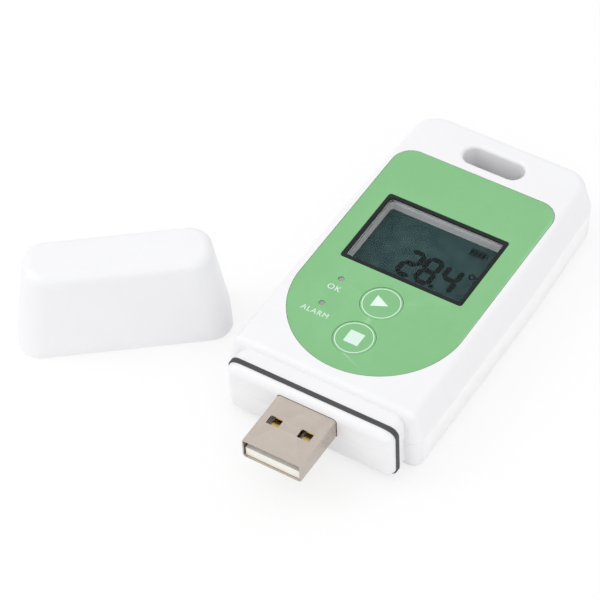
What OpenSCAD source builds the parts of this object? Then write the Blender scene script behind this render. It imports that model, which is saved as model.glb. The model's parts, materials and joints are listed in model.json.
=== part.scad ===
// Temperature data logger with a plug, a display, two keys and a loose cap.
// The origin is on the rest face under the casing, +Y points at the lanyard end and +Z is up.

/* [Casing] */
// Width of the casing at its parting line
body_w = 39.8; // [38:0.2:44]
// Length of the casing behind the nose
body_l = 69; // [67:0.5:76]
// Thickness of the casing
body_h = 13.5; // [13.3:0.1:15]
// Height of the parting line
seam_h = 7.4; // [7.2:0.1:7.6]
// Side wall of both shells
wall = 1.6; // [1.2:0.1:1.9]
// Thickness of the front shell over the board
roof = 1.6; // [1.4:0.1:1.8]
// Thickness of the rear shell's floor
floor_t = 2; // [1.8:0.1:2.2]
// How far the front shell's sides lean in
top_draft = 1.1; // [0.6:0.1:1.3]
// How far the rear shell's sides lean in
rear_draft = 0.3; // [0.1:0.1:0.6]
// How much narrower each side is at the lanyard end
end_taper = 0.8; // [0.2:0.1:1.2]
// Rounding of the front shell's edge
edge_r = 1.6; // [1:0.1:2]
// Rounding of the rear shell's edge
rear_edge_r = 1.8; // [1:0.1:2.2]
// Corner radius at the lanyard end, seen from above
end_r = 6; // [4:0.5:7]
// Corner radius beside the nose, seen from above
front_r = 2.4; // [2.2:0.1:3]

/* [Nose] */
// Width of the nose that the cap slides over
nose_w = 34; // [32:0.5:35]
// Step from the casing's faces down to the nose
nose_inset = 1.1; // [0.9:0.1:1.3]
// Length of the nose in front of the casing
nose_l = 4.3; // [4:0.1:5]
// Front wall of the nose
nose_wall = 1.2; // [1:0.1:1.4]
// Width of the seal along the nose
seal_w = 0.9; // [0.7:0.1:1.1]
// Depth of the seal's groove
seal_deep = 0.7; // [0.5:0.1:0.8]
// How far the seal stands out of the nose
seal_proud = 0.2; // [0.1:0.05:0.3]
// Length of the nose in front of the seal
seal_back = 1.6; // [1.4:0.1:1.9]

/* [Plug] */
// Width of the plug's steel shell
plug_w = 12; // [11.9:0.1:12.1]
// Height of the plug's steel shell
plug_h = 4.5; // [4.4:0.1:4.6]
// Length of the plug outside the nose
plug_out = 11.7; // [11:0.1:12.5]
// Height of the plug's middle above the rest face
plug_z = 8.7; // [8.6:0.05:8.8]
// Sheet thickness of the steel shell
plug_t = 0.3; // [0.25:0.05:0.35]
// Width of the plug's latch windows
latch_w = 2.5; // [2.2:0.1:2.7]
// Length of the plug's latch windows
latch_l = 1.9; // [1.7:0.1:2.2]
// Distance of the latch windows from the middle
latch_x = 3.15; // [2.8:0.05:3.4]
// Distance of the latch windows from the plug's tip
latch_y = 5.3; // [5:0.1:5.8]

/* [Film and window] */
// Width of the coloured front film
film_w = 33.6; // [32:0.2:34.4]
// Thickness of the front film
film_t = 0.3; // [0.2:0.05:0.4]
// Place of the film's straight end
film_end_y = 22.7; // [21:0.1:23]
// Corner radius of the film's straight end
film_r = 4; // [3:0.5:6]
// Centre of the film's round end
film_arc_y = -13.6; // [-14.2:0.1:-13]
// Width of the window's dark frame
frame_w = 25.2; // [24.8:0.1:25.4]
// Length of the window's dark frame
frame_l = 17.8; // [17.4:0.1:18]
// Width of the dark frame's border
frame_rim = 0.8; // [0.7:0.1:1.4]
// Place of the window's middle
frame_y = 1.9; // [1.7:0.1:2.1]
// Thickness of the clear window
window_t = 0.8; // [0.6:0.1:0.9]

/* [Keys] */
// Radius of each key
key_r = 3.9; // [3.7:0.1:4]
// Place of the start key
start_y = -13.4; // [-13.8:0.1:-13.3]
// Place of the stop key
stop_y = -22.75; // [-23.2:0.05:-22.5]
// Gap round each key
key_gap = 0.05; // [0.04:0.01:0.15]
// Gap between a key's stem and its dome
key_travel = 0.3; // [0.28:0.01:0.35]

/* [Lanyard slot] */
// Length of the lanyard slot
slot_l = 12.4; // [11:0.2:14]
// Width of the lanyard slot
slot_w = 4.4; // [4.2:0.1:4.6]
// Place of the lanyard slot
slot_y = 27.2; // [27:0.1:27.6]
// Wall round the lanyard slot
slot_wall = 1; // [0.8:0.1:1.1]
// Rounding at the slot's mouths
slot_edge = 0.8; // [0.4:0.1:0.9]

/* [Battery and door] */
// Radius of the coin cell
cell_r = 10; // [9.8:0.1:10.1]
// Thickness of the coin cell
cell_h = 3.2; // [3:0.1:3.2]
// Place of the coin cell and its door
cell_y = -14.2; // [-14.4:0.1:-14]
// Radius of the door's flange
door_r = 12.6; // [12.4:0.1:12.8]
// Thickness of the door's flange
door_t = 1; // [0.9:0.05:1.1]
// Depth of the door's outer face below the rest face
door_sunk = 0.2; // [0.1:0.05:0.25]
// Length of the door's coin slot
coin_l = 14; // [10:0.5:16]
// Width of the door's coin slot
coin_w = 1.8; // [1.5:0.1:2.2]

/* [Board and display] */
// Thickness of the circuit board
board_t = 1; // [0.8:0.1:1.1]
// Thickness of the display glass
lcd_t = 1.3; // [1.1:0.1:1.4]
// Height of the contact strips under the display
strip_h = 0.9; // [0.8:0.05:1]

/* [Cap] */
// Height of the cap as it stands
cap_h = 19; // [18.8:0.1:22]
// Width of the cap's closed end
cap_end_w = 34.4; // [33.4:0.2:37]
// Depth of the cap's closed end
cap_end_d = 10.6; // [10.2:0.1:12]
// Rounding of the cap's closed end
cap_edge_r = 2; // [1.2:0.1:2.4]
// Place of the loose cap to the left of the casing
cap_x = -44.7; // [-60:0.5:-42]
// Place of the loose cap along the casing
cap_y = -30.6; // [-40:0.5:-20]
// Turn of the loose cap
cap_turn = 38; // [0:1:60]

/* [Hidden] */

// Shared small values
over = 0.5;         // how far a cut runs past what it cuts
skin = 0.05;        // thickness of the slices that a hull joins
least_r = 0.6;      // smallest radius that a drawn-in corner keeps
fit_gap = 0.1;      // gap between pieces that are put together by hand
snug_gap = 0.05;    // gap round a threaded or sprung piece
arc_steps = 6;
film_steps = 40;
fine = 64;
small = 32;

// Places worked out from the casing
front_y = -body_l / 2;
end_y = body_l / 2;
nose_y = front_y - nose_l;
tip_y = nose_y - plug_out;
nose_z0 = nose_inset;
nose_z1 = body_h - nose_inset;
nose_h = nose_z1 - nose_z0;
nose_r = 1.8;
ceiling = body_h - roof;
taper_share = 0.2;  // where the sides start to taper, as a share of half the length
board_top = seam_h + board_t;
cavity_in = wall + top_draft;
board_edge = 0.7;   // from the board's sides to the casing
board_w = body_w - 2 * cavity_in - 2 * board_edge;

// Lip that locates the two shells
lip_t = 0.7;
lip_h = 0.8;

// Screws and their bosses
screw_x = 14.2;
screw_front = 5.5;   // from the casing's front
screw_rear = 7.5;    // from the casing's far end
screw_r = 0.9;
head_r = 1.8;
head_h = 1.1;
head_sunk = 0.3;
boss_r = 2.2;
foot_r = 2.9;
screw_tip = 1;       // from the screw's end to the outside of the front shell's roof
drive_r = 0.9;

// Posts that carry the board
post_x = 13.5;
post_r = 1.5;
pin_r = 0.6;
pin_h = 0.8;
post_ys = [14, -4];

// Well, door and seal of the coin cell
ledge_z = door_sunk + door_t + fit_gap;
door_gap = 0.2;
neck_r = 10.5;
lug_deep = 0.9;
lug_h = 0.6;
lug_gap = 0.3;
lug_w = 4;
lug_turn = 45;
lug_count = 3;
well_gap = 0.4;
well_wall = 1;
well_r = neck_r + lug_deep + well_gap;
cell_z = floor_t + lug_gap + lug_h + fit_gap;
pad_gap = 0.05;
coin_deep = 0.5;
ring_r = 0.25;
ring_mid_r = (neck_r + door_r) / 2;
groove_w = 0.7;
groove_deep = 0.55;
clip_t = 0.3;
clip_w = 6;
clip_low = 1;        // from the cell's underside to the clip's end
spring_r = 1.8;
spring_foot_r = 3;
spring_foot_t = 0.25;

// Display
holder_wall = 0.9;
holder_gap = 0.1;
lcd_z = board_top + strip_h;
glass_side = 0.1;   // how far the display glass passes the frame's sides
glass_end = 0.2;    // and its ends
lcd_w = frame_w + 2 * glass_side;
lcd_l = frame_l + 2 * glass_end;
view_w = frame_w - 2 * frame_rim;
view_l = frame_l - 2 * frame_rim;
frame_corner = 0.6;
window_gap = 0.05;
strip_w = 1.8;
strip_margin = 1;

// Keys, switches and domes
flange_deep = 0.5;
flange_t = 0.5;
stem_r = 1.2;
switch_w = 4.5;
switch_h = 1.2;
dome_r = 1.4;
dome_h = 0.4;

// Lamps and light pipes
lamp_x = -9.3;
ok_y = -11.9;
alarm_y = -18.5;
lamp_w = 1.6;
lamp_l = 0.9;
lamp_h = 0.6;
pipe_r = 0.55;
pipe_gap = 0.05;
pipe_collar_r = 1;
pipe_collar_h = 0.9;
pipe_lift = 0.2;
pipe_sunk = 0.15;

// Chips
chip_x = 9.5;
chip_y = -22.5;
chip_w = 7;
chip_h = 1.2;
memory_x = -9.6;
memory_y = -24.6;
memory_w = 5;
memory_l = 4;
memory_h = 1.4;
crystal_x = 9.8;
crystal_y = -14.6;
crystal_w = 3.2;
crystal_l = 1.5;
crystal_h = 0.8;
sensor_x = 9.5;
sensor_y = -29.2;
sensor_w = 2;
sensor_h = 0.7;
capacitor_w = 1.6;
capacitor_l = 0.8;
capacitor_h = 0.8;
capacitor_pitch = 2.4;
capacitor_count = 5;
capacitor_x = 5;
capacitor_y = 17.5;

// Plug inside
plug_in = 5.3;       // from the nose's front to the steel shell's inner end
plug_corner = 0.6;
plug_slip = 0.1;
tongue_gap = 0.2;
tongue_t = 1.95;
tongue_back = 0.4;   // from the steel tip to the tongue
block_l = 5;
contact_w = 1;
contact_t = 0.12;
contact_xs = [-3.5, -1, 1, 3.5];
contact_long = 8.4;
contact_short = 7.4;
contact_back = 1;

// Cap
cap_w = body_w - 2 * rear_draft;
cap_corner = 4.2;
cap_wall_end = 1.8;
cap_slip = 0.05;
cap_mouth_w = nose_w + 2 * seal_proud + 2 * cap_slip;
cap_mouth_d = nose_h + 2 * seal_proud + 2 * cap_slip;
cap_mouth_h = nose_l + fit_gap;
cap_step = 0.6;
cap_inner_taper = 1.4;
cap_inner_r = 2;

// Colours
white_c = [0.95, 0.95, 0.96];
green_c = [0.55, 0.8, 0.57];
dark_c = [0.12, 0.13, 0.14];
clear_c = [0.8, 0.88, 0.88, 0.35];
lcd_c = [0.2, 0.32, 0.32];
grey_c = [0.62, 0.64, 0.65];
board_c = [0.1, 0.38, 0.2];
steel_c = [0.76, 0.75, 0.72];
cream_c = [0.97, 0.95, 0.9];
gold_c = [0.86, 0.68, 0.3];
rubber_c = [0.3, 0.3, 0.31];

function arc(c, r, a0, a1, n = arc_steps) =
    [for (i = [0:n]) c + r * [cos(a0 + (a1 - a0) * i / n), sin(a0 + (a1 - a0) * i / n)]];

// Outline of the casing seen from above, drawn in by a distance all round
function casing_plan(in) =
    let (hw = body_w / 2 - in, he = hw - end_taper, y0 = front_y + in, y1 = end_y - in)
    let (rf = max(front_r - in, least_r), re = max(end_r - in, least_r))
    concat(
        arc([hw - rf, y0 + rf], rf, -90, 0), [[hw, end_y * taper_share]],
        arc([he - re, y1 - re], re, 0, 90), arc([re - he, y1 - re], re, 90, 180),
        [[-hw, end_y * taper_share]], arc([rf - hw, y0 + rf], rf, 180, 270));

function round_rect(w, h, r) =
    concat(
        arc([w / 2 - r, r - h / 2], r, -90, 0), arc([w / 2 - r, h / 2 - r], r, 0, 90),
        arc([r - w / 2, h / 2 - r], r, 90, 180), arc([r - w / 2, r - h / 2], r, 180, 270));

// Steps of a rounded edge: how far it is drawn in and how high it is, at each angle
function edge_steps(r) = [for (a = [0:22.5:90]) [r * (1 - cos(a)), r * sin(a)]];

module casing_slab(z, in, h) {
    translate([0, 0, z]) linear_extrude(h) polygon(casing_plan(in));
}

module upright_slot(w, h, z0, z1) {
    translate([0, slot_y, z0]) linear_extrude(z1 - z0) polygon(round_rect(w, h, h / 2 - skin));
}

module plate(w, l, h, r, x, y, z) {
    translate([x, y, z]) linear_extrude(h) polygon(round_rect(w, l, r));
}

module box_at(w, l, h, x, y, z) {
    translate([x - w / 2, y - l / 2, z]) cube([w, l, h]);
}

module front_outer() {
    hull() {
        casing_slab(seam_h, 0, skin);
        for (s = edge_steps(edge_r)) casing_slab(body_h - edge_r + s[1] - skin, top_draft + s[0], skin);
    }
}

module rear_outer() {
    hull() {
        casing_slab(seam_h - skin, 0, skin);
        for (s = edge_steps(rear_edge_r)) casing_slab(rear_edge_r - s[1], rear_draft + s[0], skin);
    }
}

// Half of the nose, from the parting line up or down
module nose_half(up) {
    z0 = up ? seam_h : nose_z0;
    z1 = up ? nose_z1 : seam_h;
    depth = nose_l + wall;
    hull() for (s = edge_steps(nose_r)) {
        plate(nose_w - 2 * s[0], depth - s[0], skin, nose_r, 0, nose_y + (depth + s[0]) / 2,
            up ? nose_z1 - nose_r + s[1] - skin : nose_z0 + nose_r - s[1]);
        plate(nose_w, depth, skin, nose_r, 0, nose_y + depth / 2, up ? z0 : z1 - skin);
    }
}

module seal_ring(w, h, y0, l) {
    translate([0, y0 + l, (nose_z0 + nose_z1) / 2]) rotate([90, 0, 0]) linear_extrude(l)
        polygon(round_rect(w, h, nose_r));
}

module seal_groove() {
    difference() {
        seal_ring(nose_w + 2 * over, nose_h + 2 * over, nose_y + seal_back, seal_w);
        seal_ring(nose_w - 2 * seal_deep, nose_h - 2 * seal_deep, nose_y + seal_back - over, seal_w + 2 * over);
    }
}

module plug_hole() {
    translate([0, nose_y + nose_wall + over, plug_z]) rotate([90, 0, 0]) linear_extrude(nose_wall + 2 * over)
        polygon(round_rect(plug_w + 2 * plug_slip, plug_h + 2 * plug_slip, plug_corner));
}

// Room for the plug's block behind the nose's front wall
module nose_room(z0, z1) {
    w = nose_w - 2 * seal_deep - 2 * nose_wall;
    translate([-w / 2, nose_y + nose_wall, z0]) cube([w, nose_l + wall, z1 - z0]);
}

module at_screws() {
    for (x = [-screw_x, screw_x], y = [front_y + screw_front, end_y - screw_rear]) translate([x, y, 0]) children();
}

module at_keys() {
    for (y = [start_y, stop_y]) translate([0, y, 0]) children();
}

module at_lamps() {
    for (y = [ok_y, alarm_y]) translate([lamp_x, y, 0]) children();
}

module film_outline(grow) {
    w = film_w / 2 + grow;
    polygon(concat(
        arc([0, film_arc_y], w, 180, 360, film_steps),
        arc([w - film_r, film_end_y + grow - film_r], film_r, 0, 90),
        arc([film_r - w, film_end_y + grow - film_r], film_r, 90, 180)));
}

module front_shell() {
    color(white_c) difference() {
        union() {
            difference() {
                union() {
                    front_outer();
                    nose_half(true);
                }
                casing_slab(seam_h - over, cavity_in, ceiling - seam_h + over);
                casing_slab(seam_h - over, wall - fit_gap, lip_h + fit_gap + over);
                nose_room(seam_h - over, nose_z1 - nose_wall);
            }
            at_screws() translate([0, 0, seam_h]) cylinder(r = boss_r, h = ceiling + skin - seam_h, $fn = small);
            upright_slot(slot_l + 2 * slot_wall, slot_w + 2 * slot_wall, seam_h, ceiling + skin);
        }
        seal_groove();
        plug_hole();
        at_screws() translate([0, 0, seam_h - over])
            cylinder(r = screw_r + snug_gap, h = body_h - screw_tip - seam_h + over + snug_gap, $fn = small);
        upright_slot(slot_l, slot_w, seam_h - over, body_h + over);
        hull() {
            upright_slot(slot_l, slot_w, body_h - slot_edge, body_h);
            upright_slot(slot_l + 2 * slot_edge, slot_w + 2 * slot_edge, body_h, body_h + over);
        }
        translate([0, 0, body_h - film_t]) linear_extrude(film_t + over) film_outline(fit_gap);
        plate(frame_w, frame_l, window_t + over, frame_corner, 0, frame_y, body_h - film_t - window_t);
        plate(view_w, view_l, roof + 2 * over, frame_corner, 0, frame_y, ceiling - over);
        at_keys() translate([0, 0, ceiling - over]) cylinder(r = key_r + key_gap, h = roof + 2 * over, $fn = fine);
        at_lamps() translate([0, 0, ceiling - over])
            cylinder(r = pipe_r + pipe_gap, h = roof + 2 * over, $fn = small);
    }
}

module rear_shell() {
    color(white_c) difference() {
        union() {
            difference() {
                union() {
                    rear_outer();
                    nose_half(false);
                }
                casing_slab(floor_t, wall + rear_draft, seam_h);
                nose_room(nose_z0 + nose_wall, seam_h + over);
            }
            difference() {
                casing_slab(seam_h - over, wall, lip_h + over);
                casing_slab(seam_h - 2 * over, wall + lip_t, lip_h + 3 * over);
                translate([-nose_w / 2, front_y, 0]) cube([nose_w, wall + lip_t + over, body_h]);
            }
            difference() {
                casing_slab(floor_t - skin, wall + rear_draft - skin, seam_h - floor_t + skin);
                casing_slab(floor_t - over, wall + lip_t, seam_h);
            }
            at_screws() cylinder(r = foot_r, h = floor_t + head_h, $fn = small);
            at_screws() cylinder(r = boss_r, h = seam_h, $fn = small);
            upright_slot(slot_l + 2 * slot_wall, slot_w + 2 * slot_wall, 0, seam_h);
            for (x = [-post_x, post_x], y = post_ys) translate([x, y, floor_t - skin]) {
                cylinder(r = post_r, h = seam_h - floor_t + skin, $fn = small);
                cylinder(r = pin_r, h = seam_h - floor_t + pin_h, $fn = small);
            }
            translate([0, cell_y, floor_t - skin]) difference() {
                cylinder(r = well_r + well_wall, h = cell_h + lug_h + skin, $fn = fine);
                translate([0, 0, -over]) cylinder(r = well_r, h = seam_h, $fn = fine);
            }
        }
        nose_room(nose_z0 + nose_wall, seam_h + over);
        seal_groove();
        plug_hole();
        at_screws() translate([0, 0, -over]) {
            cylinder(r = screw_r + snug_gap, h = seam_h + 2 * over, $fn = small);
            cylinder(r = head_r + fit_gap, h = head_sunk + head_h + over, $fn = small);
        }
        upright_slot(slot_l, slot_w, -over, seam_h + over);
        hull() {
            upright_slot(slot_l, slot_w, 0, slot_edge);
            upright_slot(slot_l + 2 * slot_edge, slot_w + 2 * slot_edge, -over, 0);
        }
        translate([0, cell_y, -over]) {
            cylinder(r = door_r + door_gap, h = ledge_z + over, $fn = fine);
            cylinder(r = neck_r + door_gap, h = floor_t + 2 * over, $fn = fine);
            for (i = [0:lug_count - 1]) rotate([0, 0, 90 + lug_turn + i * 360 / lug_count])
                translate([0, -lug_w / 2 - door_gap, 0])
                    cube([neck_r + lug_deep + door_gap, lug_w + 2 * door_gap, floor_t + 2 * over]);
        }
    }
}

module front_film() {
    color(green_c) difference() {
        translate([0, 0, body_h - film_t]) linear_extrude(film_t) film_outline(0);
        plate(frame_w + 2 * window_gap, frame_l + 2 * window_gap, film_t + 2 * over, frame_corner, 0, frame_y,
            body_h - film_t - over);
        at_keys() translate([0, 0, ceiling]) cylinder(r = key_r + key_gap, h = roof + over, $fn = fine);
        at_lamps() translate([0, 0, ceiling]) cylinder(r = pipe_r + pipe_gap, h = roof + over, $fn = small);
    }
}

module window_frame() {
    color(dark_c) difference() {
        plate(frame_w - 2 * window_gap, frame_l - 2 * window_gap, film_t, frame_corner, 0, frame_y, body_h - film_t);
        plate(view_w, view_l, film_t + 2 * over, frame_corner, 0, frame_y, body_h - film_t - over);
    }
}

module display_window() {
    color(clear_c) plate(frame_w - 2 * window_gap, frame_l - 2 * window_gap, window_t, frame_corner, 0, frame_y,
        body_h - film_t - window_t);
}

module lcd_holder() {
    pocket_w = lcd_w + 2 * holder_gap;
    pocket_l = lcd_l + 2 * holder_gap;
    color(grey_c) difference() {
        plate(pocket_w + 2 * holder_wall, pocket_l + 2 * holder_wall, ceiling - board_top, frame_corner, 0, frame_y,
            board_top);
        box_at(pocket_w, pocket_l, strip_h + lcd_t + over, 0, frame_y, board_top - over);
        plate(view_w, view_l, ceiling, frame_corner, 0, frame_y, board_top);
    }
}

module lcd_panel() {
    color(lcd_c) box_at(lcd_w, lcd_l, lcd_t - snug_gap, 0, frame_y, lcd_z);
}

module contact_strips() {
    color(rubber_c) for (side = [-1, 1])
        box_at(lcd_w - 2 * strip_margin, strip_w, strip_h, 0, frame_y + side * (lcd_l - strip_w) / 2, board_top);
}

module main_board() {
    y0 = nose_y + plug_in + fit_gap;
    y1 = slot_y - slot_w / 2 - slot_wall - fit_gap;
    wide_y = front_y + cavity_in + fit_gap;
    color(board_c) difference() {
        union() {
            box_at(board_w, y1 - wide_y, board_t, 0, (wide_y + y1) / 2, seam_h);
            box_at(plug_w + 2 * nose_wall, y1 - y0, board_t, 0, (y0 + y1) / 2, seam_h);
        }
        at_screws() cylinder(r = boss_r + 2 * fit_gap, h = body_h, $fn = small);
        for (x = [-post_x, post_x], y = post_ys) translate([x, y, 0])
            cylinder(r = pin_r + snug_gap, h = body_h, $fn = small);
    }
}

// A round key with a flange under the shell and a stem over its switch
module key(y) {
    dome_top = board_top + switch_h + dome_h;
    flange_z = ceiling - fit_gap - flange_t;
    color(green_c) translate([0, y, 0]) {
        translate([0, 0, flange_z]) cylinder(r = key_r, h = body_h - flange_z, $fn = fine);
        translate([0, 0, flange_z]) cylinder(r = key_r + flange_deep, h = flange_t, $fn = fine);
        translate([0, 0, dome_top + key_travel])
            cylinder(r = stem_r, h = flange_z - dome_top - key_travel + skin, $fn = small);
    }
}

module start_key() {
    key(start_y);
}

module stop_key() {
    key(stop_y);
}

module key_switches() {
    color(dark_c) at_keys() box_at(switch_w, switch_w, switch_h, 0, 0, board_top);
}

module switch_domes() {
    color(steel_c) at_keys() translate([0, 0, board_top + switch_h]) {
        cylinder(r = dome_r, h = dome_h / 2, $fn = small);
        cylinder(r = dome_r / 2, h = dome_h, $fn = small);
    }
}

module lamp(y) {
    color(cream_c) box_at(lamp_w, lamp_l, lamp_h, lamp_x, y, board_top);
}

module ok_lamp() {
    lamp(ok_y);
}

module alarm_lamp() {
    lamp(alarm_y);
}

module light_pipes() {
    z0 = board_top + lamp_h + pipe_lift;
    color(clear_c) at_lamps() {
        translate([0, 0, z0]) cylinder(r = pipe_r, h = body_h - pipe_sunk - z0, $fn = small);
        translate([0, 0, ceiling - pipe_collar_h]) cylinder(r = pipe_collar_r, h = pipe_collar_h, $fn = small);
    }
}

module processor() {
    color(dark_c) box_at(chip_w, chip_w, chip_h, chip_x, chip_y, board_top);
}

module memory_chip() {
    color(dark_c) box_at(memory_w, memory_l, memory_h, memory_x, memory_y, board_top);
}

module clock_crystal() {
    color(steel_c) plate(crystal_w, crystal_l, crystal_h, crystal_l / 2 - skin, crystal_x, crystal_y, board_top);
}

module temperature_sensor() {
    color(dark_c) box_at(sensor_w, sensor_w, sensor_h, sensor_x, sensor_y, board_top);
}

module board_capacitors() {
    color(cream_c) for (i = [0:capacitor_count - 1])
        box_at(capacitor_l, capacitor_w, capacitor_h, capacitor_x - i * capacitor_pitch, capacitor_y, board_top);
}

module plug_section(shrink) {
    polygon(round_rect(plug_w - 2 * shrink, plug_h - 2 * shrink, max(plug_corner - shrink, skin)));
}

module plug_shell() {
    l = plug_out + plug_in;
    color(steel_c) difference() {
        translate([0, nose_y + plug_in, plug_z]) rotate([90, 0, 0]) difference() {
            linear_extrude(l) plug_section(0);
            translate([0, 0, -over]) linear_extrude(l + 2 * over) plug_section(plug_t);
        }
        for (x = [-latch_x, latch_x])
            box_at(latch_w, latch_l, plug_h + 2 * over, x, tip_y + latch_y + latch_l / 2, plug_z - plug_h / 2 - over);
    }
}

module plug_tongue() {
    w = plug_w - 2 * plug_t - 2 * tongue_gap;
    l = plug_out - tongue_back + plug_in - block_l;
    color(cream_c) box_at(w, l, tongue_t, 0, tip_y + tongue_back + l / 2, plug_z - plug_h / 2 + plug_t + snug_gap);
}

module plug_contacts() {
    z = plug_z - plug_h / 2 + plug_t + snug_gap + tongue_t;
    color(gold_c) for (i = [0:len(contact_xs) - 1]) {
        l = i == 0 || i == len(contact_xs) - 1 ? contact_long : contact_short;
        translate([contact_xs[i] - contact_w / 2, tip_y + tongue_back + contact_back + contact_long - l, z])
            cube([contact_w, l, contact_t]);
    }
}

module plug_block() {
    w = plug_w - 2 * plug_t - 2 * tongue_gap;
    h = plug_h - 2 * plug_t - 2 * tongue_gap;
    color(dark_c) box_at(w, block_l, h, 0, nose_y + plug_in - block_l / 2, plug_z - h / 2);
}

module nose_seal() {
    color(rubber_c) difference() {
        seal_ring(nose_w + 2 * seal_proud, nose_h + 2 * seal_proud, nose_y + seal_back, seal_w);
        seal_ring(nose_w - 2 * seal_deep, nose_h - 2 * seal_deep, nose_y + seal_back - over, seal_w + 2 * over);
    }
}

module coin_cell() {
    rim = fit_gap * 5;
    color(steel_c) translate([0, cell_y, cell_z]) {
        cylinder(r = cell_r, h = cell_h - rim, $fn = fine);
        cylinder(r = cell_r - rim, h = cell_h, $fn = fine);
    }
}

module cell_side_clip() {
    x = cell_r + snug_gap;
    z = cell_z + clip_low;
    color(gold_c) {
        translate([x, cell_y - clip_w / 2, z]) cube([clip_t, clip_w, seam_h - z]);
        translate([x - clip_t * 3, cell_y - clip_w / 2, seam_h - clip_t]) cube([clip_t * 4, clip_w, clip_t]);
    }
}

module cell_spring() {
    color(steel_c) translate([0, cell_y, 0]) {
        translate([0, 0, seam_h - spring_foot_t]) cylinder(r = spring_foot_r, h = spring_foot_t, $fn = small);
        translate([0, 0, cell_z + cell_h])
            cylinder(r = spring_r, h = seam_h - cell_z - cell_h - spring_foot_t / 2, $fn = small);
    }
}

module battery_door() {
    top = cell_z - pad_gap;
    color(white_c) translate([0, cell_y, 0]) difference() {
        union() {
            translate([0, 0, door_sunk]) cylinder(r = door_r, h = door_t, $fn = fine);
            translate([0, 0, door_sunk]) cylinder(r = neck_r, h = top - door_sunk, $fn = fine);
            for (i = [0:lug_count - 1]) rotate([0, 0, 90 + i * 360 / lug_count])
                translate([0, -lug_w / 2, floor_t + lug_gap]) intersection() {
                    cube([neck_r + lug_deep, lug_w, lug_h]);
                    translate([0, lug_w / 2, -over]) cylinder(r = neck_r + lug_deep, h = lug_h + 2 * over, $fn = fine);
                }
        }
        translate([0, 0, door_sunk + door_t - groove_deep]) difference() {
            cylinder(r = ring_mid_r + groove_w / 2, h = groove_deep + fit_gap / 2, $fn = fine);
            translate([0, 0, -over]) cylinder(r = ring_mid_r - groove_w / 2, h = groove_deep + 2 * over, $fn = fine);
        }
        box_at(coin_l, coin_w, coin_deep + over, 0, 0, door_sunk - over);
    }
}

module door_seal() {
    color(rubber_c) translate([0, cell_y, ledge_z - snug_gap - ring_r]) rotate_extrude($fn = fine)
        translate([ring_mid_r, 0]) circle(r = ring_r, $fn = small);
}

module case_screws() {
    color(steel_c) at_screws() difference() {
        union() {
            translate([0, 0, head_sunk]) cylinder(r = head_r, h = head_h, $fn = small);
            translate([0, 0, head_sunk]) cylinder(r = screw_r, h = body_h - screw_tip - head_sunk, $fn = small);
        }
        for (a = [0, 90]) rotate([0, 0, a]) box_at(2 * drive_r, drive_r / 2, head_h, 0, 0, -head_h / 4);
    }
}

// A slice of the cap at a height above its open end, as a share of the way to the closed end
module cap_slab(share, in, z) {
    w = cap_w + (cap_end_w - cap_w) * share - 2 * in;
    d = body_h + (cap_end_d - body_h) * share - 2 * in;
    plate(w, d, skin, cap_corner - in, 0, 0, z);
}

module cap() {
    shoulder = cap_h - cap_edge_r;
    color(white_c) translate([cap_x, cap_y, 0]) rotate([0, 0, cap_turn]) difference() {
        hull() {
            cap_slab(0, 0, 0);
            for (s = edge_steps(cap_edge_r)) cap_slab(1, s[0], shoulder + s[1] - skin);
        }
        plate(cap_mouth_w, cap_mouth_d, cap_mouth_h + over, nose_r, 0, 0, -over);
        hull() {
            plate(cap_mouth_w - 2 * cap_step, cap_mouth_d - 2 * cap_step, skin, cap_inner_r, 0, 0, cap_mouth_h - over);
            plate(cap_mouth_w - 2 * cap_step - 2 * cap_inner_taper, cap_mouth_d - 2 * cap_step - 2 * cap_inner_taper,
                skin, cap_inner_r, 0, 0, cap_h - cap_wall_end);
        }
    }
}

front_shell();
rear_shell();
front_film();
window_frame();
display_window();
lcd_holder();
lcd_panel();
contact_strips();
main_board();
start_key();
stop_key();
key_switches();
switch_domes();
ok_lamp();
alarm_lamp();
light_pipes();
processor();
memory_chip();
clock_crystal();
temperature_sensor();
board_capacitors();
plug_shell();
plug_tongue();
plug_contacts();
plug_block();
nose_seal();
coin_cell();
cell_side_clip();
cell_spring();
battery_door();
door_seal();
case_screws();
cap();
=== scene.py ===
import json
import math
import bpy
import bmesh
from mathutils import Matrix, Vector


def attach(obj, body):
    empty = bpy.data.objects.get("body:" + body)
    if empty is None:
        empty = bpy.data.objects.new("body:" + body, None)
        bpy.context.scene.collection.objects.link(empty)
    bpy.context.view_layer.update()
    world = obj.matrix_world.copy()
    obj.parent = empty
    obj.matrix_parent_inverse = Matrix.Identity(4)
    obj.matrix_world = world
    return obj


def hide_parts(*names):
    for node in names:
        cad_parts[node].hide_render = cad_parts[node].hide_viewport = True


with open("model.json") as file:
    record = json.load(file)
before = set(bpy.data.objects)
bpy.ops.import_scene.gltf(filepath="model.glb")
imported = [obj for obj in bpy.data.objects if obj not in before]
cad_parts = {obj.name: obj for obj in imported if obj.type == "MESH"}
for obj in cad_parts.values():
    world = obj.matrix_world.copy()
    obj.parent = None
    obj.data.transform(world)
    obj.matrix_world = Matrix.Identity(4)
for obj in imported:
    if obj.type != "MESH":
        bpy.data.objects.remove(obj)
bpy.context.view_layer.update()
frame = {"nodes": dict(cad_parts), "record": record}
mm = 0.001
nodes = frame["nodes"]
print("frame loaded:", len(nodes), "nodes")

# Camera, solved on the plug and the window: mm and degrees, focal and side in pixels
photo = {"azimuth": 34.28, "elevation": 47.97, "roll": -3.196, "focal": 3000, "side": 600,
         "distance": 516.232, "shiftX": 4.946, "shiftY": 27.731, "target": (0, -50.5, 8.7),
         "sensor": 36, "near": 10, "far": 10000}


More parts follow.
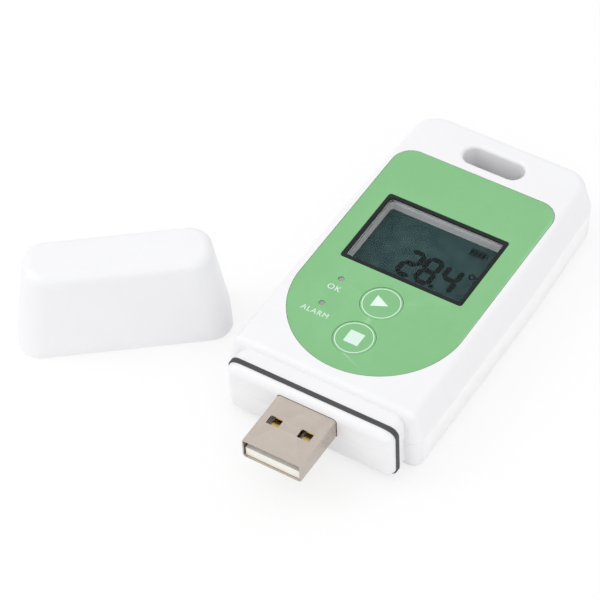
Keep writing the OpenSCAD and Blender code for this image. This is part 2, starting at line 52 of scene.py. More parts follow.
def makeCamera():
    az, el, roll = (math.radians(photo[k]) for k in ("azimuth", "elevation", "roll"))
    back = Vector((math.sin(az) * math.cos(el), -math.cos(az) * math.cos(el), math.sin(el)))
    right = Vector((0, 0, 1)).cross(back).normalized()
    up = back.cross(right)
    camRight = right * math.cos(roll) + up * math.sin(roll)
    camUp = -right * math.sin(roll) + up * math.cos(roll)
    place = (Vector(photo["target"]) + camRight * photo["shiftX"] + camUp * photo["shiftY"]
             + back * photo["distance"]) * mm
    data = bpy.data.cameras.new("camera")
    data.sensor_width = photo["sensor"]
    data.lens = photo["focal"] / photo["side"] * photo["sensor"]
    data.clip_start, data.clip_end = photo["near"] * mm, photo["far"] * mm
    cam = bpy.data.objects.new("camera", data)
    turn = Matrix((camRight, camUp, back)).transposed().to_4x4()
    cam.matrix_world = Matrix.Translation(place) @ turn
    bpy.context.collection.objects.link(cam)
    bpy.context.scene.camera = cam


makeCamera()

# Shader groups: fine and broad grain, patchy wear on edges, and brushed lines
grainMix = {"fine": 0.4, "broad": 0.6, "fineDetail": 3, "broadDetail": 2}
wearPatch = {"start": 0.54, "rise": 8.0, "scale": 400.0, "detail": 3}
brush = {"scale": 300.0, "stretch": (12, 1, 12), "detail": 4}


def newGroup(name, inputs, outputs):
    group = bpy.data.node_groups.new(name, "ShaderNodeTree")
    kind = "NodeSocketFloat"
    for label, value in inputs:
        group.interface.new_socket(label, in_out="INPUT", socket_type=kind).default_value = value
    for label in outputs:
        group.interface.new_socket(label, in_out="OUTPUT", socket_type=kind)
    return group, group.nodes.new("NodeGroupInput"), group.nodes.new("NodeGroupOutput")


def mathNode(tree, kind, a, b):
    node = tree.nodes.new("ShaderNodeMath")
    node.operation = kind
    for i, x in enumerate((a, b)):
        if isinstance(x, (int, float)):
            node.inputs[i].default_value = x
        else:
            tree.links.new(x, node.inputs[i])
    return node.outputs[0]


def noiseNode(tree, coord, scale, detail):
    node = tree.nodes.new("ShaderNodeTexNoise")
    node.inputs["Detail"].default_value = detail
    tree.links.new(coord, node.inputs["Vector"])
    tree.links.new(scale, node.inputs["Scale"])
    return node.outputs["Fac"]


def buildMouldGrain():
    inputs = [("Scale", 900.0), ("Cloud", 60.0)]
    group, gin, gout = newGroup("mouldGrain", inputs, ["Height", "Shade"])
    coord = group.nodes.new("ShaderNodeTexCoord").outputs["Object"]
    fine = noiseNode(group, coord, gin.outputs["Scale"], grainMix["fineDetail"])
    broad = noiseNode(group, coord, gin.outputs["Cloud"], grainMix["broadDetail"])
    shade = mathNode(group, "ADD", mathNode(group, "MULTIPLY", fine, grainMix["fine"]),
                     mathNode(group, "MULTIPLY", broad, grainMix["broad"]))
    group.links.new(fine, gout.inputs["Height"])
    group.links.new(shade, gout.inputs["Shade"])
    return group


def buildEdgeWear():
    inputs = [("Start", wearPatch["start"]), ("Strength", 1.0), ("Patch", wearPatch["scale"])]
    group, gin, gout = newGroup("edgeWear", inputs, ["Mask"])
    point = group.nodes.new("ShaderNodeNewGeometry").outputs["Pointiness"]
    coord = group.nodes.new("ShaderNodeTexCoord").outputs["Object"]
    patch = noiseNode(group, coord, gin.outputs["Patch"], wearPatch["detail"])
    rise = mathNode(group, "SUBTRACT", point, gin.outputs["Start"])
    rise = mathNode(group, "MULTIPLY", rise, wearPatch["rise"])
    mask = mathNode(group, "MULTIPLY", rise, patch)
    mask = mathNode(group, "MULTIPLY", mask, gin.outputs["Strength"])
    clamp = group.nodes.new("ShaderNodeClamp")
    group.links.new(mask, clamp.inputs[0])
    group.links.new(clamp.outputs[0], gout.inputs["Mask"])
    return group


def buildBrushed():
    group, gin, gout = newGroup("brushedLines", [("Scale", brush["scale"])], ["Height"])
    coord = group.nodes.new("ShaderNodeTexCoord").outputs["Object"]
    stretch = group.nodes.new("ShaderNodeMapping")
    stretch.inputs["Scale"].default_value = brush["stretch"]
    group.links.new(coord, stretch.inputs["Vector"])
    lines = noiseNode(group, stretch.outputs[0], gin.outputs["Scale"], brush["detail"])
    group.links.new(lines, gout.inputs["Height"])
    return group


mouldGrain, edgeWear, brushedLines = buildMouldGrain(), buildEdgeWear(), buildBrushed()

# What the finishes share, then each one's colour, worn colour, roughness range, grain scale,
# bump, darker shade, and plain shader values
common = {"cloud": 18, "bumpDepth": 0.1, "specular": 0.5}
finishes = {
    "white_plastic": {"colour": (0.87, 0.87, 0.885), "worn": (0.93, 0.93, 0.93), "rough": (0.3, 0.4),
                      "grain": 2200, "bump": 0.04, "shade": 0.03},
    "green_film": {"colour": (0.205, 0.5, 0.212), "worn": (0.33, 0.65, 0.35), "rough": (0.28, 0.36),
                   "grain": 2600, "bump": 0.04, "shade": 0.05, "coat": 0.15},
    "print_ink": {"colour": (0.66, 0.85, 0.74), "worn": (0.8, 0.9, 0.85), "rough": (0.3, 0.4),
                  "grain": 2600, "bump": 0.02, "shade": 0.03},
    "dark_print": {"colour": (0.012, 0.016, 0.017), "worn": (0.03, 0.035, 0.035), "rough": (0.3, 0.4),
                   "grain": 2600, "bump": 0.02, "shade": 0.1, "specular": 0.12},
    # grey_plastic, the display holder's finish, is painted far lighter than its own grey (0.42 in
    # model.json). This is painted light on the holder's walls, which lie in shade in the display well.
    "grey_plastic": {"colour": (0.8, 0.81, 0.82), "worn": (0.8, 0.81, 0.82), "rough": (0.4, 0.5),
                     "grain": 1800, "bump": 0.08, "shade": 0.05},
    "display_glass": {"colour": (0.014, 0.058, 0.066), "worn": (0.06, 0.12, 0.12), "rough": (0.3, 0.4),
                      "grain": 400, "bump": 0.01, "shade": 0.35, "specular": 0.05},
    "grey_lens": {"colour": (0.3, 0.31, 0.31), "worn": (0.5, 0.5, 0.5), "rough": (0.12, 0.2),
                  "grain": 1200, "bump": 0.02, "shade": 0.1, "coat": 0.6},
    "digit_ink": {"colour": (0.004, 0.008, 0.009), "worn": (0.01, 0.015, 0.015), "rough": (0.4, 0.5),
                  "grain": 800, "bump": 0.0, "shade": 0.05, "specular": 0.05},
    "seal_rubber": {"colour": (0.05, 0.05, 0.054), "worn": (0.1, 0.1, 0.1), "rough": (0.55, 0.7),
                    "grain": 1500, "bump": 0.2, "shade": 0.2},
    "circuit_board": {"colour": (0.02, 0.14, 0.05), "worn": (0.2, 0.25, 0.12), "rough": (0.35, 0.5),
                      "grain": 900, "bump": 0.1, "shade": 0.3},
    "black_plastic": {"colour": (0.018, 0.018, 0.02), "worn": (0.06, 0.06, 0.06), "rough": (0.5, 0.6),
                      "grain": 1500, "bump": 0.15, "shade": 0.2},
    "cream_plastic": {"colour": (0.85, 0.82, 0.73), "worn": (0.9, 0.88, 0.82), "rough": (0.35, 0.45),
                      "grain": 1500, "bump": 0.05, "shade": 0.05},
    "spring_steel": {"colour": (0.56, 0.55, 0.53), "worn": (0.75, 0.74, 0.72), "rough": (0.25, 0.4),
                     "grain": 700, "bump": 0.1, "shade": 0.1, "metal": True},
    "plug_steel": {"colour": (0.6, 0.53, 0.47), "worn": (0.74, 0.68, 0.61), "rough": (0.2, 0.34),
                   "grain": 500, "bump": 0.12, "shade": 0.12, "metal": True},
    "gold_contact": {"colour": (0.83, 0.6, 0.24), "worn": (0.9, 0.75, 0.45), "rough": (0.2, 0.3),
                     "grain": 900, "bump": 0.05, "shade": 0.1, "metal": True},
}


def makeFinish(name, f):
    mat = bpy.data.materials.new(name + "_finish")
    mat.use_nodes = True
    tree = mat.node_tree
    shader = tree.nodes["Principled BSDF"]
    grain = tree.nodes.new("ShaderNodeGroup")
    grain.node_tree = mouldGrain
    grain.inputs["Scale"].default_value = f["grain"]
    grain.inputs["Cloud"].default_value = f["grain"] / common["cloud"]
    wear = tree.nodes.new("ShaderNodeGroup")
    wear.node_tree = edgeWear
    darker = tree.nodes.new("ShaderNodeMix")
    darker.data_type = "RGBA"
    darker.inputs["A"].default_value = (*f["colour"], 1)
    darker.inputs["B"].default_value = (*[c * (1 - 2 * f["shade"]) for c in f["colour"]], 1)
    tree.links.new(grain.outputs["Shade"], darker.inputs["Factor"])
    worn = tree.nodes.new("ShaderNodeMix")
    worn.data_type = "RGBA"
    worn.inputs["B"].default_value = (*f["worn"], 1)
    tree.links.new(wear.outputs["Mask"], worn.inputs["Factor"])
    tree.links.new(darker.outputs["Result"], worn.inputs["A"])
    tree.links.new(worn.outputs["Result"], shader.inputs["Base Color"])
    spread = tree.nodes.new("ShaderNodeMapRange")
    spread.inputs["To Min"].default_value, spread.inputs["To Max"].default_value = f["rough"]
    tree.links.new(grain.outputs["Shade"], spread.inputs["Value"])
    tree.links.new(spread.outputs["Result"], shader.inputs["Roughness"])
    bump = tree.nodes.new("ShaderNodeBump")
    bump.inputs["Strength"].default_value = f["bump"]
    bump.inputs["Distance"].default_value = common["bumpDepth"] * mm
    height = grain.outputs["Height"]
    if f.get("metal"):
        shader.inputs["Metallic"].default_value = 1
        lines = tree.nodes.new("ShaderNodeGroup")
        lines.node_tree = brushedLines
        height = lines.outputs["Height"]
    tree.links.new(height, bump.inputs["Height"])
    tree.links.new(bump.outputs["Normal"], shader.inputs["Normal"])
    shader.inputs["Coat Weight"].default_value = f.get("coat", 0)
    shader.inputs["Specular IOR Level"].default_value = f.get("specular", common["specular"])
    return mat


# Clear window over the display, dark and thin enough to see through
clearWindow = {"colour": (0.02, 0.03, 0.03), "alpha": 0.1, "rough": (0.01, 0.06)}


def makeClear():
    mat = bpy.data.materials.new("clear_window_finish")
    mat.use_nodes = True
    tree = mat.node_tree
    shader = tree.nodes["Principled BSDF"]
    shader.inputs["Base Color"].default_value = (*clearWindow["colour"], 1)
    shader.inputs["Alpha"].default_value = clearWindow["alpha"]
    grain = tree.nodes.new("ShaderNodeGroup")
    grain.node_tree = mouldGrain
    spread = tree.nodes.new("ShaderNodeMapRange")
    low, high = clearWindow["rough"]
    spread.inputs["To Min"].default_value, spread.inputs["To Max"].default_value = low, high
    tree.links.new(grain.outputs["Shade"], spread.inputs["Value"])
    tree.links.new(spread.outputs["Result"], shader.inputs["Roughness"])
    return mat


mats = {name: makeFinish(name, f) for name, f in finishes.items()}
mats["clear_window"] = makeClear()
ownFinish = {"light_pipes": "grey_lens"}  # the pipes' ends show as small grey lenses
for part in frame["record"]["subparts"]:
    obj = nodes[part["node"]]
    for i in range(max(1, len(obj.material_slots))):
        if not obj.material_slots:
            obj.data.materials.append(None)
        obj.material_slots[i].link = "OBJECT"
        obj.material_slots[i].material = mats[ownFinish.get(part["node"], part["material_slot"])]
print("finishes made:", len(mats))

# Mesh helpers, all in mm
detail = {"arc": 10, "circle": 64, "edge": 8, "smooth": 35}
far = 1.0  # how far a cutter runs past a face
hair = 0.01  # keeps the two round ends of a slot from meeting in one point


def arcPoints(cx, cy, r, a0, a1, steps=detail["arc"]):
    turn = [math.radians(a0 + (a1 - a0) * i / steps) for i in range(steps + 1)]
    return [(cx + r * math.cos(a), cy + r * math.sin(a)) for a in turn]


def circle(x, y, r):
    return arcPoints(x, y, r, 0, 360, detail["circle"])[:-1]


def roundRect(w, h, r, cx=0.0, cy=0.0):
    x, y = w / 2 - r, h / 2 - r
    return (arcPoints(cx + x, cy - y, r, -90, 0) + arcPoints(cx + x, cy + y, r, 0, 90)
            + arcPoints(cx - x, cy + y, r, 90, 180) + arcPoints(cx - x, cy - y, r, 180, 270))


def loft(name, rings):
    bm = bmesh.new()
    loops = [[bm.verts.new([c * mm for c in p]) for p in ring] for ring in rings]
    for a, b in zip(loops, loops[1:]):
        for i in range(len(a)):
            j = (i + 1) % len(a)
            bm.faces.new((a[i], a[j], b[j], b[i]))
    bm.faces.new(loops[0][::-1])
    bm.faces.new(loops[-1])
    bmesh.ops.recalc_face_normals(bm, faces=bm.faces)
    mesh = bpy.data.meshes.new(name)
    bm.to_mesh(mesh)
    obj = bpy.data.objects.new(name, mesh)
    bpy.context.collection.objects.link(obj)
    return obj


def stack(name, levels):
    return loft(name, [[(x, y, z) for x, y in outline] for outline, z in levels])


def combine(base, tools, kind="DIFFERENCE"):
    for tool in tools:
        mod = base.modifiers.new("cut", "BOOLEAN")
        mod.operation, mod.solver, mod.object = kind, "EXACT", tool
        evaluated = base.evaluated_get(bpy.context.evaluated_depsgraph_get())
        mesh = bpy.data.meshes.new_from_object(evaluated)
        base.modifiers.clear()
        base.data = mesh
        bpy.data.objects.remove(tool)
    return base


def finishPiece(obj, slotName, body, matName=None, replaced=()):
    obj.data.materials.clear()
    obj.data.materials.append(mats[matName or slotName])
    for face in obj.data.polygons:
        face.use_smooth = True
        face.material_index = 0
    obj.data.set_sharp_from_angle(angle=math.radians(detail["smooth"]))
    weighted = obj.modifiers.new("normals", "WEIGHTED_NORMAL")
    weighted.keep_sharp = True
    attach(obj, body)
    if replaced:
        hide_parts(*replaced)
    return obj


# Casing, with everything that is cut into it
casing = {"width": 39.8, "front": -34.5, "end": 34.5, "height": 13.5, "seam": 7.4, "topDraft": 1.1,
          "rearDraft": 0.3, "taper": 0.8, "edge": 1.6, "rearEdge": 1.8, "endR": 6.0, "frontR": 2.4,
          "taperY": 6.9, "wall": 1.6, "floor": 2.0, "ceiling": 11.9, "seamChamfer": 0.14,
          "seamGap": 0.02, "seamInset": 0.02, "leastR": 0.6}
nose = {"width": 34.0, "length": 4.3, "inset": 1.1, "radius": 1.8, "cornerShare": 0.9, "back": 1.6,
        "seal": 0.9, "sealDeep": 0.7, "proud": 0.2}
slot = {"length": 12.4, "width": 4.4, "y": 27.2, "flare": 0.8, "wall": 1.0}
film = {"width": 33.6, "end": 22.7, "corner": 4.0, "arcY": -13.6, "thick": 0.3, "gap": 0.1,
        "windowGap": 0.05, "bevel": 0.05}
window = {"w": 25.2, "l": 17.8, "y": 1.9, "rim": 0.8, "corner": 0.6, "thick": 0.8,
          "cutTop": 20}  # cutTop is where the rim's cutter ends, above the casing
keys = {"radius": 3.9, "gap": 0.05, "start": -13.4, "stop": -22.75, "bevel": 0.08, "foot": 11.3,
        "flange": 0.5, "flangeTop": 11.8, "stem": 1.2, "stemFoot": 10.31, "lap": 0.1}
lamps = {"x": -9.3, "ok": -11.9, "alarm": -18.5, "hole": 0.6}
door = {"y": -14.2, "recess": 12.8, "neck": 10.7, "ledge": 1.3}
screws = {"x": 14.2, "ys": (-29.0, 27.0), "recess": 1.9, "deep": 1.4}
plug = {"w": 12.0, "h": 4.5, "t": 0.3, "corner": 0.6, "boreCorner": 0.35, "y0": -50.5, "y1": -33.5,
        "z": 8.7, "lip": 0.1, "holeGap": 0.1, "holeCorner": 0.7, "holeDeep": 5}


def casingPlan(inset):
    c = casing
    hw, y0, y1 = c["width"] / 2 - inset, c["front"] + inset, c["end"] - inset
    he = hw - c["taper"]
    rf, re = (max(c[k] - inset, c["leastR"]) for k in ("frontR", "endR"))
    return (arcPoints(hw - rf, y0 + rf, rf, -90, 0) + [(hw, c["taperY"])]
            + arcPoints(he - re, y1 - re, re, 0, 90) + arcPoints(re - he, y1 - re, re, 90, 180)
            + [(-hw, c["taperY"])] + arcPoints(rf - hw, y0 + rf, rf, 180, 270))


def edgeSteps(r):
    turns = [math.pi / 2 * i / detail["edge"] for i in range(detail["edge"] + 1)]
    return [(r * (1 - math.cos(a)), r * math.sin(a)) for a in turns]


def cylinder(r, x, y, z0, z1):
    ring = circle(x, y, r)
    return stack("cutter", [(ring, z0), (ring, z1)])


def slotPlan(grow):
    return roundRect(slot["length"] + 2 * grow, slot["width"] + 2 * grow,
                     slot["width"] / 2 + grow - hair, 0, slot["y"])


def slotCutter(z0, z1):
    levels = [(slot["flare"], z0 - far)]
    bend = edgeSteps(slot["flare"])
    levels += [(slot["flare"] - s[1], z0 + s[0]) for s in bend]
    levels += [(slot["flare"] - s[1], z1 - s[0]) for s in reversed(bend)]
    levels += [(slot["flare"], z1 + far)]
    return stack("cutter", [(slotPlan(g), z) for g, z in levels])


def slotWall(z0, z1):
    return stack("slotWall", [(slotPlan(slot["wall"]), z) for z in (z0, z1)])


def noseBlock(z0, z1, up):
    n = nose
    y0, y1 = casing["front"] - n["length"], casing["front"] + casing["wall"]
    corner = n["radius"] * n["cornerShare"]
    rings = [(0, z0 if up else z1)]
    rings += [(s[0], z1 - n["radius"] + s[1] if up else z0 + n["radius"] - s[1])
              for s in edgeSteps(n["radius"])]
    return stack("noseBlock", [(roundRect(n["width"] - 2 * g, y1 - y0 - g, corner, 0,
                                          (y0 + y1 + g) / 2), z) for g, z in rings])


def sealRing(w, h, y0, y1):
    middle = casing["height"] / 2
    outline = roundRect(w, h, nose["radius"])
    return loft("ring", [[(x, y, z + middle) for x, z in outline] for y in (y0, y1)])


def sealPiece(outer, name):
    n = nose
    y0 = casing["front"] - n["length"] + n["back"]
    y1 = y0 + n["seal"]
    h = casing["height"] - 2 * n["inset"]
    ring = sealRing(n["width"] + 2 * outer, h + 2 * outer, y0, y1)
    core = sealRing(n["width"] - 2 * n["sealDeep"], h - 2 * n["sealDeep"], y0 - far, y1 + far)
    ring.name = name
    return combine(ring, [core])


def plugHole():
    y0 = casing["front"] - nose["length"]
    outline = roundRect(plug["w"] + 2 * plug["holeGap"], plug["h"] + 2 * plug["holeGap"],
                        plug["holeCorner"])
    return loft("cutter", [[(x, y, z + plug["z"]) for x, z in outline]
                           for y in (y0 - far, y0 + plug["holeDeep"])])


def windowCutter(grow, z0, z1):
    outline = roundRect(window["w"] + 2 * grow, window["l"] + 2 * grow, window["corner"], 0,
                        window["y"])
    return stack("cutter", [(outline, z0), (outline, z1)])


def filmOutline(grow):
    w, r = film["width"] / 2 + grow, film["corner"]
    top = film["end"] + grow
    return (arcPoints(0, film["arcY"], w, 180, 360, detail["circle"])
            + arcPoints(w - r, top - r, r, 0, 90) + arcPoints(r - w, top - r, r, 90, 180))


def keyAndLampHoles(z0, z1):
    tools = [cylinder(keys["radius"] + keys["gap"], 0, keys[k], z0, z1) for k in ("start", "stop")]
    return tools + [cylinder(lamps["hole"], lamps["x"], lamps[k], z0, z1) for k in ("ok", "alarm")]


def makeFrontShell():
    c = casing
    above = c["height"] + far
    levels = [(casingPlan(c["seamChamfer"]), c["seam"]),
              (casingPlan(c["seamInset"]), c["seam"] + c["seamChamfer"])]
    levels += [(casingPlan(c["topDraft"] + s[0]), c["height"] - c["edge"] + s[1])
               for s in edgeSteps(c["edge"])]
    shell = stack("frontShell", levels)
    combine(shell, [noseBlock(c["seam"], c["height"] - nose["inset"], True)], "UNION")
    room = casingPlan(c["wall"] + c["topDraft"])
    hollow = stack("cutter", [(room, c["seam"] - far), (room, c["ceiling"])])
    filmPlan = filmOutline(film["gap"])
    filmFoot = c["height"] - film["thick"]
    cuts = [combine(hollow, [slotWall(c["seam"] - 2 * far, c["height"])]),
            stack("cutter", [(filmPlan, filmFoot), (filmPlan, above)]),
            windowCutter(0, filmFoot - window["thick"], above),
            windowCutter(-window["rim"], c["ceiling"] - far, window["cutTop"]),
            plugHole(), sealPiece(far, "cutter"), slotCutter(-c["height"], c["height"])]
    combine(shell, cuts + keyAndLampHoles(c["ceiling"] - far, above))
    return finishPiece(shell, "white_plastic", "logger", replaced=("front_shell",))


def makeRearShell():
    c = casing
    top = c["seam"] - c["seamGap"]
    levels = [(casingPlan(c["seamChamfer"]), top),
              (casingPlan(c["seamInset"]), c["seam"] - c["seamChamfer"])]
    levels += [(casingPlan(c["rearDraft"] + s[0]), c["rearEdge"] - s[1])
               for s in edgeSteps(c["rearEdge"])]
    shell = stack("rearShell", levels)
    combine(shell, [noseBlock(nose["inset"], top, False)], "UNION")
    room = casingPlan(c["wall"] + c["rearDraft"])
    hollow = stack("cutter", [(room, c["floor"]), (room, c["seam"] + far)])
    cuts = [combine(hollow, [slotWall(0, c["seam"] + 2 * far)]), plugHole(),
            sealPiece(far, "cutter"), slotCutter(0, 2 * c["height"]),
            cylinder(door["recess"], 0, door["y"], -far, door["ledge"]),
            cylinder(door["neck"], 0, door["y"], -far, c["floor"] + far)]
    cuts += [cylinder(screws["recess"], side * screws["x"], y, -far, screws["deep"])
             for side in (-1, 1) for y in screws["ys"]]
    combine(shell, cuts)
    return finishPiece(shell, "white_plastic", "logger", replaced=("rear_shell",))


def makeFilm():
    z1 = casing["height"]
    z0 = z1 - film["thick"]
    levels = [(filmOutline(0), z0), (filmOutline(0), z1 - film["bevel"]),
              (filmOutline(-film["bevel"]), z1)]
    sheet = stack("frontFilm", levels)
    opening = windowCutter(film["windowGap"], z0 - far, z1 + far)
    combine(sheet, [opening] + keyAndLampHoles(z0 - far, z1 + far))
    return finishPiece(sheet, "green_film", "logger", replaced=("front_film",))


def makeSeal():
    ring = sealPiece(nose["proud"], "noseSeal")
    return finishPiece(ring, "seal_rubber", "logger", replaced=("nose_seal",))


makeFrontShell()
makeRearShell()
makeFilm()
makeSeal()
print("casing made")

# Keys with a ring and an icon printed on each
keyPrint = {"z": 0.012, "ringOut": 3.55, "ringIn": 3.38, "icon": 1.45, "back": 1.05, "tip": 0.95,
            "corner": 0.12}


def flatPrint(name, outline, z, body, matName="print_ink", slotName="green_film",
              thick=keyPrint["z"]):
    obj = stack(name, [(outline, z - thick), (outline, z)])
    return finishPiece(obj, slotName, body, matName)


def makeKey(name, y, body, icon, node):
    k, z1, r = keys, casing["height"], keys["radius"]
    piece = stack(name, [(circle(0, y, r), k["foot"]), (circle(0, y, r), z1 - k["bevel"]),
                         (circle(0, y, r - k["bevel"]), z1 - keyPrint["z"])])
    combine(piece, [cylinder(r + k["flange"], 0, y, k["foot"], k["flangeTop"]),
                    cylinder(k["stem"], 0, y, k["stemFoot"], k["foot"] + k["lap"])], "UNION")
    finishPiece(piece, "green_film", body, replaced=(node,))
    ring = cylinder(keyPrint["ringOut"], 0, y, z1 - 2 * keyPrint["z"], z1)
    ring.name = name + "Ring"
    combine(ring, [cylinder(keyPrint["ringIn"], 0, y, z1 - far, z1 + far)])
    finishPiece(ring, "green_film", body, "print_ink")
    flatPrint(name + "Icon", icon, z1, body)


def playIcon(y):
    s = keyPrint["icon"]
    back = -s * keyPrint["back"]
    return [(back, y - s), (s * keyPrint["tip"], y), (back, y + s)]


def stopIcon(y):
    side = 2 * keyPrint["icon"]
    return roundRect(side, side, keyPrint["corner"], 0, y)


makeKey("startKey", keys["start"], "start_button", playIcon(keys["start"]), "start_key")
makeKey("stopKey", keys["stop"], "stop_button", stopIcon(keys["stop"]), "stop_key")

# Words beside the lamps
words = {"OK": {"y": -14.9, "size": 1.75}, "ALARM": {"y": -21.4, "size": 1.6}}
lettering = {"thick": 0.006, "sink": 0.004, "spacing": 1.15}


def makeWord(text, y, size):
    curve = bpy.data.curves.new("word" + text, "FONT")
    curve.body, curve.size, curve.align_x = text, size * mm, "CENTER"
    curve.extrude, curve.space_character = lettering["thick"] * mm, lettering["spacing"]
    obj = bpy.data.objects.new("word" + text, curve)
    bpy.context.collection.objects.link(obj)
    flat = obj.evaluated_get(bpy.context.evaluated_depsgraph_get())
    mesh = bpy.data.meshes.new_from_object(flat)
    bpy.data.objects.remove(obj)
    place = Vector((lamps["x"], y, casing["height"] - lettering["sink"])) * mm
    mesh.transform(Matrix.Translation(place))
    piece = bpy.data.objects.new("word" + text, mesh)
    bpy.context.collection.objects.link(piece)
    finishPiece(piece, "green_film", "logger", "print_ink")


for text, word in words.items():
    makeWord(text, word["y"], word["size"])
print("keys and print made")

# Display: seven-segment reading, unit mark and battery mark
reading = {"top": 10.61, "thick": 0.025, "height": 5.95, "width": 2.65, "bar": 1.04,
           "slant": 0.03, "bottom": -3.15, "gap": 0.05,
           "digits": (("2", -3.2), ("8", 0.6), ("4", 4.8)), "pointX": 4.15, "point": 0.8,
           "pointCorner": 0.1}
unitMark = {"y": 0.9, "height": 2.0, "bar": 0.38, "degreeX": 8.95, "degreeW": 0.95,
            "letterX": 10.5, "letterW": 0.85}
battery = {"x": 6.45, "y": 7.9, "cells": 4, "pitch": 0.8, "cellW": 0.62, "cellL": 1.15,
           "railW": 3.5, "railL": 0.14, "railY": 0.78, "tipX": 3.12, "tipW": 0.3, "tipL": 0.7,
           "corner": 0.05}
segments = {"2": "abged", "8": "abcdefg", "4": "fgbc", "C": "afed", "degree": "afbg"}


def segmentOutline(key, x, y, w, h, t):
    half = h / 2
    across = {"a": h, "g": half, "d": 0}
    upright = {"f": (0, half), "b": (w, half), "e": (0, 0), "c": (w, 0)}
    g = reading["gap"]
    e = g + t / 2  # where a stroke's pointed end begins
    if key in across:
        v = across[key]
        pts = [(g, v), (e, v + t / 2), (w - e, v + t / 2), (w - g, v), (w - e, v - t / 2),
               (e, v - t / 2)]
    else:
        u, v = upright[key]
        pts = [(u, v + g), (u + t / 2, v + e), (u + t / 2, v + half - e), (u, v + half - g),
               (u - t / 2, v + half - e), (u - t / 2, v + e)]
    return [(x + px + py * reading["slant"], y + py) for px, py in pts][::-1]


def makeDisplay():
    r, u, b = reading, unitMark, battery
    signs = [(char, x, r["bottom"], r["width"], r["height"], r["bar"]) for char, x in r["digits"]]
    signs += [("degree", u["degreeX"], u["y"], u["degreeW"], u["height"], u["bar"]),
              ("C", u["letterX"], u["y"], u["letterW"], u["height"], u["bar"])]
    outlines = [segmentOutline(k, *place) for char, *place in signs for k in segments[char]]
    outlines.append(roundRect(r["point"], r["point"], r["pointCorner"], r["pointX"], r["bottom"]))
    outlines += [roundRect(b["cellW"], b["cellL"], b["corner"], b["x"] + b["pitch"] * i, b["y"])
                 for i in range(b["cells"])]
    middle = b["x"] + b["pitch"] * (b["cells"] - 1) / 2
    outlines += [roundRect(b["railW"], b["railL"], b["corner"], middle, b["y"] + side * b["railY"])
                 for side in (-1, 1)]
    outlines.append(roundRect(b["tipW"], b["tipL"], b["corner"], b["x"] + b["tipX"], b["y"]))
    for i, outline in enumerate(outlines):
        flatPrint(f"segment{i}", outline, r["top"], "logger", "digit_ink", "display_glass",
                  r["thick"])


makeDisplay()
print("display made")

# Loose cap, standing on its open end beside the logger
cap = {"w": 39.2, "d": 13.5, "endW": 34.4, "endD": 10.6, "h": 19.0, "edge": 2.0, "corner": 4.2,
       "x": -44.7, "y": -30.6, "turn": 38, "lip": 0.25, "mouthW": 34.5, "mouthD": 11.8,
       "mouthH": 4.4, "mouthCorner": 1.8, "step": 0.6, "taper": 1.4, "roomCorner": 2, "lid": 1.8}


def makeCap():
    c, lip = cap, cap["lip"]
    levels = [(roundRect(c["w"] - 2 * lip, c["d"] - 2 * lip, c["corner"] - lip), 0),
              (roundRect(c["w"], c["d"], c["corner"]), lip)]
    levels += [(roundRect(c["endW"] - 2 * e[0], c["endD"] - 2 * e[0], c["corner"] - e[0]),
                c["h"] - c["edge"] + e[1]) for e in edgeSteps(c["edge"])]
    piece = stack("looseCap", levels)
    mouth = roundRect(c["mouthW"], c["mouthD"], c["mouthCorner"])
    w, d = c["mouthW"] - 2 * c["step"], c["mouthD"] - 2 * c["step"]
    wide = roundRect(w, d, c["roomCorner"])
    narrow = roundRect(w - 2 * c["taper"], d - 2 * c["taper"], c["roomCorner"])
    combine(piece, [stack("cutter", [(mouth, -far), (mouth, c["mouthH"])]),
                    stack("cutter", [(wide, c["mouthH"] - far), (narrow, c["h"] - c["lid"])])])
    turn = Matrix.Rotation(math.radians(c["turn"]), 4, "Z")
    piece.data.transform(Matrix.Translation(Vector((c["x"], c["y"], 0)) * mm) @ turn)
    finishPiece(piece, "white_plastic", "loose_cap", replaced=("cap",))


makeCap()

# Latch windows, their leaves, and the seam underneath the plug's shell
latch = {"x": 3.15, "y": -44.25, "w": 2.5, "l": 1.9, "corner": 0.12, "leafW": 1.5, "leafT": 0.2,
         "leafCorner": 0.05,
         "leafPath": ((-46.5, 10.3), (-45, 9.9), (-43.6, 9.7), (-42, 10.0), (-39, 10.3))}
plugSeam = {"w": 0.08, "l": 30, "corner": 0.02, "y": -42, "top": 6.6}


def plugOutline(inset, corner):
    outline = roundRect(plug["w"] - 2 * inset, plug["h"] - 2 * inset, corner)
    return [(x, z + plug["z"]) for x, z in outline]


def makePlug():
    p, below, above = plug, plug["z"] - plug["h"], plug["z"] + plug["h"]
    ends = ((p["y0"], p["lip"]), (p["y0"] + p["lip"], 0), (p["y1"], 0))
    tube = loft("plugShell", [[(x, y, z) for x, z in plugOutline(g, p["corner"])] for y, g in ends])
    bore = loft("cutter", [[(x, y, z) for x, z in plugOutline(p["t"], p["boreCorner"])]
                           for y in (p["y0"] - far, p["y1"] + far)])
    cuts = []
    for side in (-1, 1):
        outline = roundRect(latch["w"], latch["l"], latch["corner"], side * latch["x"], latch["y"])
        cuts.append(stack("cutter", [(outline, below), (outline, above)]))
    split = roundRect(plugSeam["w"], plugSeam["l"], plugSeam["corner"], 0, plugSeam["y"])
    cuts.append(stack("cutter", [(split, below), (split, plugSeam["top"])]))
    combine(tube, [bore] + cuts)
    finishPiece(tube, "plug_steel", "logger", replaced=("plug_shell",))
    for i, side in enumerate((-1, 1)):
        rings = [[(x + side * latch["x"], y, z) for x, z in
                  roundRect(latch["leafW"], latch["leafT"], latch["leafCorner"], 0, middle)]
                 for y, middle in latch["leafPath"]]
        finishPiece(loft(f"latchLeaf{i}", rings), "gold_contact", "logger")


makePlug()
print("cap and plug made")

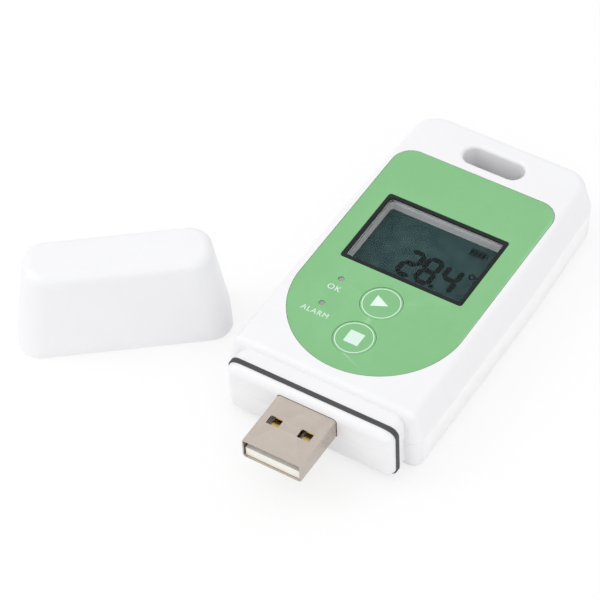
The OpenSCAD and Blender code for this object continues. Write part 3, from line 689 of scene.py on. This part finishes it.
# Floor and light; the lamps' sizes and places are in metres
studio = {"floor": 0.93, "rough": 0.9, "span": 6000, "drop": 0.05, "glow": 0.7, "world": 0.92}
lampSet = {"keyLamp": {"power": 1.2, "size": 0.5, "place": (-0.5, -0.25, 0.55)},
           "fillLamp": {"power": 0.7, "size": 0.6, "place": (0.5, -0.4, 0.5)}}


def whiteRays(tree, rays):
    clear = mathNode(tree, "MAXIMUM", rays.outputs["Is Glossy Ray"],
                     rays.outputs["Is Transmission Ray"])
    return mathNode(tree, "MAXIMUM", rays.outputs["Is Camera Ray"], clear)


def makeFloor():
    place = (0, 0, -studio["drop"] * mm)
    bpy.ops.mesh.primitive_plane_add(size=studio["span"] * mm, location=place)
    floor = bpy.context.object
    floor.name = "floor"
    mat = bpy.data.materials.new("floor_white")
    mat.use_nodes = True
    tree = mat.node_tree
    shader = tree.nodes["Principled BSDF"]
    shader.inputs["Base Color"].default_value = (studio["floor"],) * 3 + (1,)
    shader.inputs["Roughness"].default_value = studio["rough"]
    glow = tree.nodes.new("ShaderNodeEmission")
    mix = tree.nodes.new("ShaderNodeMixShader")
    rays = tree.nodes.new("ShaderNodeLightPath")
    share = mathNode(tree, "MULTIPLY", whiteRays(tree, rays), studio["glow"])
    tree.links.new(share, mix.inputs[0])
    tree.links.new(shader.outputs[0], mix.inputs[1])
    tree.links.new(glow.outputs[0], mix.inputs[2])
    # From below, the floor lets the view through
    below = tree.nodes.new("ShaderNodeNewGeometry").outputs["Backfacing"]
    clear = tree.nodes.new("ShaderNodeBsdfTransparent")
    through = tree.nodes.new("ShaderNodeMixShader")
    tree.links.new(below, through.inputs[0])
    tree.links.new(mix.outputs[0], through.inputs[1])
    tree.links.new(clear.outputs[0], through.inputs[2])
    tree.links.new(through.outputs[0], tree.nodes["Material Output"].inputs["Surface"])
    floor.data.materials.append(mat)


def makeLamp(name, power, size, place):
    data = bpy.data.lights.new(name, "AREA")
    data.energy, data.size = power, size
    obj = bpy.data.objects.new(name, data)
    obj.location = place
    obj.rotation_euler = Vector(place).to_track_quat("Z", "Y").to_euler()
    bpy.context.collection.objects.link(obj)


def makeWorld():
    world = bpy.data.worlds.new("studio")
    bpy.context.scene.world = world
    world.use_nodes = True
    tree = world.node_tree
    back = tree.nodes["Background"]
    back.inputs["Color"].default_value = (1, 1, 1, 1)
    rays = tree.nodes.new("ShaderNodeLightPath")
    seen = mathNode(tree, "MULTIPLY", whiteRays(tree, rays), 1 - studio["world"])
    tree.links.new(mathNode(tree, "ADD", seen, studio["world"]), back.inputs["Strength"])


makeFloor()
makeWorld()
for name, lamp in lampSet.items():
    makeLamp(name, lamp["power"], lamp["size"], lamp["place"])
bpy.context.scene.view_settings.view_transform = "Standard"
print("studio made")
